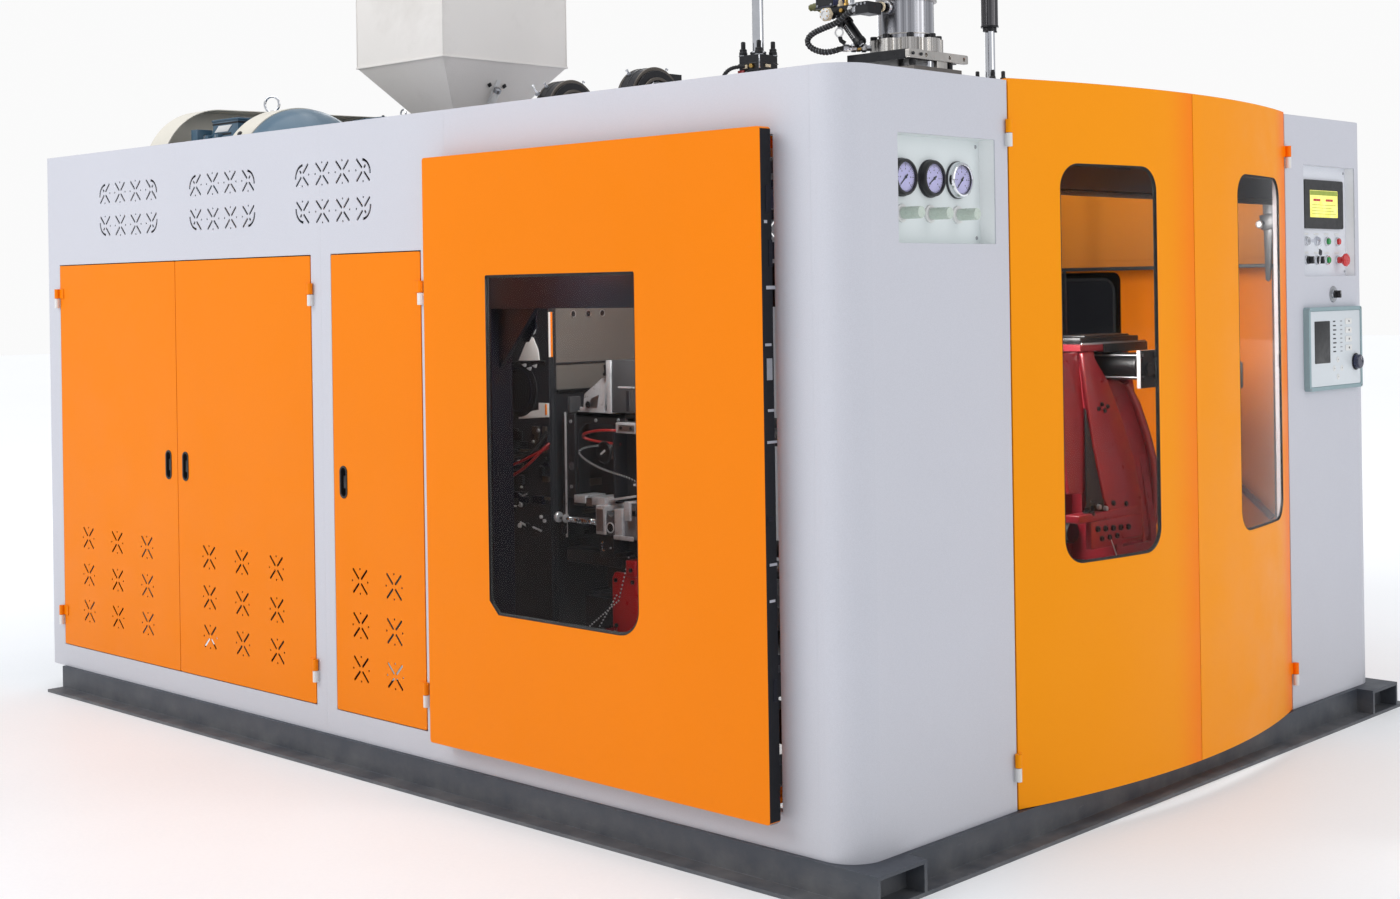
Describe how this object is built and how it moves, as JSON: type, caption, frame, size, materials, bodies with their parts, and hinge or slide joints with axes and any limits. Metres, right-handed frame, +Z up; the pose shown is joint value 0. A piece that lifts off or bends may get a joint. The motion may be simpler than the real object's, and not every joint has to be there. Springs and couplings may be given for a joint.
{
  "type": "extrusion blow moulding machine",
  "caption": "Floor-standing extrusion blow moulding machine with a top extruder and hopper, two clamp stations inside a sheet cover, curved front doors and sliding side doors.",
  "frame": {"origin": "centre of the machine's footprint, on the floor", "axes": "+X along the long service side towards the curved front doors, +Y from the near side to the far side, +Z up"},
  "size_m": [3.696, 2.699, 2.66],
  "materials": {
    "cover_grey": "fine textured powder coat",
    "door_orange": "satin powder coat",
    "base_slate": "satin paint",
    "frame_navy": "satin paint",
    "clear_pane": "clear",
    "smoked_pane": "smoked",
    "bright_steel": "machined",
    "hard_chrome": "polished",
    "casting_red": "painted casting",
    "carriage_black": "painted casting",
    "motor_teal": "gloss paint",
    "guard_cream": "satin paint",
    "hopper_grey": "satin paint",
    "blower_black": "black coated casting",
    "fitting_black": "black oxide",
    "hose_black": "matt",
    "panel_pale": "satin paint",
    "plastic_black": "fine texture",
    "unit_teal": "satin paint",
    "knob_grey_green": "moulded",
    "cap_dark_red": "moulded",
    "cap_green": "moulded",
    "cap_red": "moulded",
    "knob_navy": "moulded",
    "barrel_steel": "heat darkened",
    "gear_blue": "painted casting",
    "tank_green": "satin paint"
  },
  "bodies": {
    "root": {"base_frame": "base_slate", "inner_frame": "frame_navy", "top_frame": "frame_navy", "guide_rails": "bright_steel", "near_side_panel": "cover_grey", "far_side_panel": "cover_grey", "rear_panel": "cover_grey", "roof_panel": "cover_grey", "hinge_pins": "panel_pale", "gauge_panel": "panel_pale", "pressure_gauges": "bright_steel", "control_panel": "panel_pale", "touch_panel": "plastic_black", "button_bezels": "hard_chrome", "program_unit": "unit_teal", "blow_cylinders": "fitting_black", "drive_motor": "motor_teal", "belt_guard": "guard_cream", "gearbox": "gear_blue", "extruder_barrel": "barrel_steel", "hopper": "hopper_grey", "barrel_blowers": "blower_black", "die_head": "fitting_black", "head_cylinder": "bright_steel", "servo_valve": "fitting_black", "valve_hose": "hose_black", "oil_tank": "tank_green", "electrical_box": "cover_grey"},
    "near_slide": {"near_slide_door": "door_orange", "near_slide_pane": "clear_pane"},
    "far_slide": {"far_slide_door": "door_orange", "far_slide_pane": "smoked_pane"},
    "front_left": {"front_left_door": "door_orange", "front_left_pane": "clear_pane"},
    "front_right": {"front_right_door": "door_orange", "front_right_pane": "clear_pane"},
    "rear_left_door": {"rear_left_door": "door_orange"},
    "rear_right_door": {"rear_right_door": "door_orange"},
    "middle_door": {"middle_door": "door_orange"},
    "near_carriage": {"near_carriage": "carriage_black"},
    "far_carriage": {"far_carriage": "carriage_black"},
    "near_front_platen": {"near_front_platen": "casting_red"},
    "far_front_platen": {"far_front_platen": "casting_red"},
    "near_blow_rod": {"near_blow_rod": "hard_chrome"},
    "far_blow_rod": {"far_blow_rod": "hard_chrome"},
    "extruder_screw": {"extruder_screw": "bright_steel"},
    "knife_arm": {"knife_arm": "bright_steel"},
    "key_switch": {"key_switch": "hard_chrome"},
    "dark_red_button": {"dark_red_button": "cap_dark_red"},
    "green_button": {"green_button": "cap_green"},
    "red_button": {"red_button": "cap_red"},
    "left_selector": {"left_selector": "plastic_black"},
    "right_selector": {"right_selector": "plastic_black"},
    "lower_green_button": {"lower_green_button": "cap_green"},
    "stop_button": {"stop_button": "cap_red"},
    "rotary_switch": {"rotary_switch": "plastic_black"},
    "program_knob": {"program_knob": "knob_navy"},
    "regulator_knob_left": {"regulator_knob_left": "knob_grey_green"},
    "regulator_knob_middle": {"regulator_knob_middle": "knob_grey_green"},
    "regulator_knob_right": {"regulator_knob_right": "knob_grey_green"}
  },
  "joints": [
    {"name": "near_door_slide", "type": "slide", "parent": "root", "child": "near_slide", "axis": [-1, 0, 0], "range_m": [0, 0.74]},
    {"name": "far_door_slide", "type": "slide", "parent": "root", "child": "far_slide", "axis": [-1, 0, 0], "range_m": [0, 0.74]},
    {"name": "front_left_hinge", "type": "hinge", "parent": "root", "child": "front_left", "pos_m": [1.761, -0.6835, 0.9], "axis": [0, 0, -1], "range_deg": [0, 100]},
    {"name": "front_right_hinge", "type": "hinge", "parent": "root", "child": "front_right", "pos_m": [1.761, 0.7385, 0.9], "axis": [0, 0, 1], "range_deg": [0, 100]},
    {"name": "rear_left_hinge", "type": "hinge", "parent": "root", "child": "rear_left_door", "pos_m": [-1.73, -1.2915, 0.8], "axis": [0, 0, -1], "range_deg": [0, 110]},
    {"name": "rear_right_hinge", "type": "hinge", "parent": "root", "child": "rear_right_door", "pos_m": [-0.234, -1.2915, 0.8], "axis": [0, 0, -1], "range_deg": [-110, 0]},
    {"name": "middle_hinge", "type": "hinge", "parent": "root", "child": "middle_door", "pos_m": [0.278, -1.2915, 0.8], "axis": [0, 0, -1], "range_deg": [-110, 0]},
    {"name": "near_shuttle", "type": "slide", "parent": "root", "child": "near_carriage", "axis": [0, 1, 0], "range_m": [0, 0.552]},
    {"name": "far_shuttle", "type": "slide", "parent": "root", "child": "far_carriage", "axis": [0, 1, 0], "range_m": [-0.552, 0]},
    {"name": "near_clamp", "type": "slide", "parent": "near_carriage", "child": "near_front_platen", "axis": [-1, 0, 0], "range_m": [0, 0.17]},
    {"name": "far_clamp", "type": "slide", "parent": "far_carriage", "child": "far_front_platen", "axis": [-1, 0, 0], "range_m": [0, 0.17]},
    {"name": "near_blow", "type": "slide", "parent": "root", "child": "near_blow_rod", "axis": [0, 0, -1], "range_m": [0, 0.13]},
    {"name": "far_blow", "type": "slide", "parent": "root", "child": "far_blow_rod", "axis": [0, 0, -1], "range_m": [0, 0.13]},
    {"name": "screw_turn", "type": "hinge", "parent": "root", "child": "extruder_screw", "pos_m": [0, 0, 1.88], "axis": [1, 0, 0], "continuous": true},
    {"name": "knife_swing", "type": "hinge", "parent": "root", "child": "knife_arm", "pos_m": [0.786, 0.175, 1.3], "axis": [0, 0, 1], "range_deg": [-90, 0]},
    {"name": "dark_red_button_press", "type": "slide", "parent": "root", "child": "dark_red_button", "axis": [-1, 0, 0], "range_m": [0, 0.004], "stiffness_N_per_m": 600},
    {"name": "green_button_press", "type": "slide", "parent": "root", "child": "green_button", "axis": [-1, 0, 0], "range_m": [0, 0.004], "stiffness_N_per_m": 600},
    {"name": "red_button_press", "type": "slide", "parent": "root", "child": "red_button", "axis": [-1, 0, 0], "range_m": [0, 0.004], "stiffness_N_per_m": 600},
    {"name": "lower_green_button_press", "type": "slide", "parent": "root", "child": "lower_green_button", "axis": [-1, 0, 0], "range_m": [0, 0.004], "stiffness_N_per_m": 600},
    {"name": "key_turn", "type": "hinge", "parent": "root", "child": "key_switch", "pos_m": [1.722, 0.921, 1.451], "axis": [1, 0, 0], "range_deg": [0, 90]},
    {"name": "left_selector_turn", "type": "hinge", "parent": "root", "child": "left_selector", "pos_m": [1.722, 0.921, 1.394], "axis": [1, 0, 0], "range_deg": [-45, 45]},
    {"name": "right_selector_turn", "type": "hinge", "parent": "root", "child": "right_selector", "pos_m": [1.722, 0.989, 1.394], "axis": [1, 0, 0], "range_deg": [-45, 45]},
    {"name": "stop_press", "type": "slide", "parent": "root", "child": "stop_button", "axis": [-1, 0, 0], "range_m": [0, 0.006]},
    {"name": "rotary_turn", "type": "hinge", "parent": "root", "child": "rotary_switch", "pos_m": [1.752, 1.034, 1.29], "axis": [1, 0, 0], "range_deg": [-60, 60]},
    {"name": "program_knob_turn", "type": "hinge", "parent": "root", "child": "program_knob", "pos_m": [1.752, 1.144, 1.082], "axis": [1, 0, 0], "range_deg": [-135, 135]},
    {"name": "regulator_left_turn", "type": "hinge", "parent": "root", "child": "regulator_knob_left", "pos_m": [1.707, -1.035, 1.498], "axis": [1, 0, 0], "continuous": true},
    {"name": "regulator_middle_turn", "type": "hinge", "parent": "root", "child": "regulator_knob_middle", "pos_m": [1.707, -0.928, 1.498], "axis": [1, 0, 0], "continuous": true},
    {"name": "regulator_right_turn", "type": "hinge", "parent": "root", "child": "regulator_knob_right", "pos_m": [1.707, -0.821, 1.498], "axis": [1, 0, 0], "continuous": true}
  ]
}
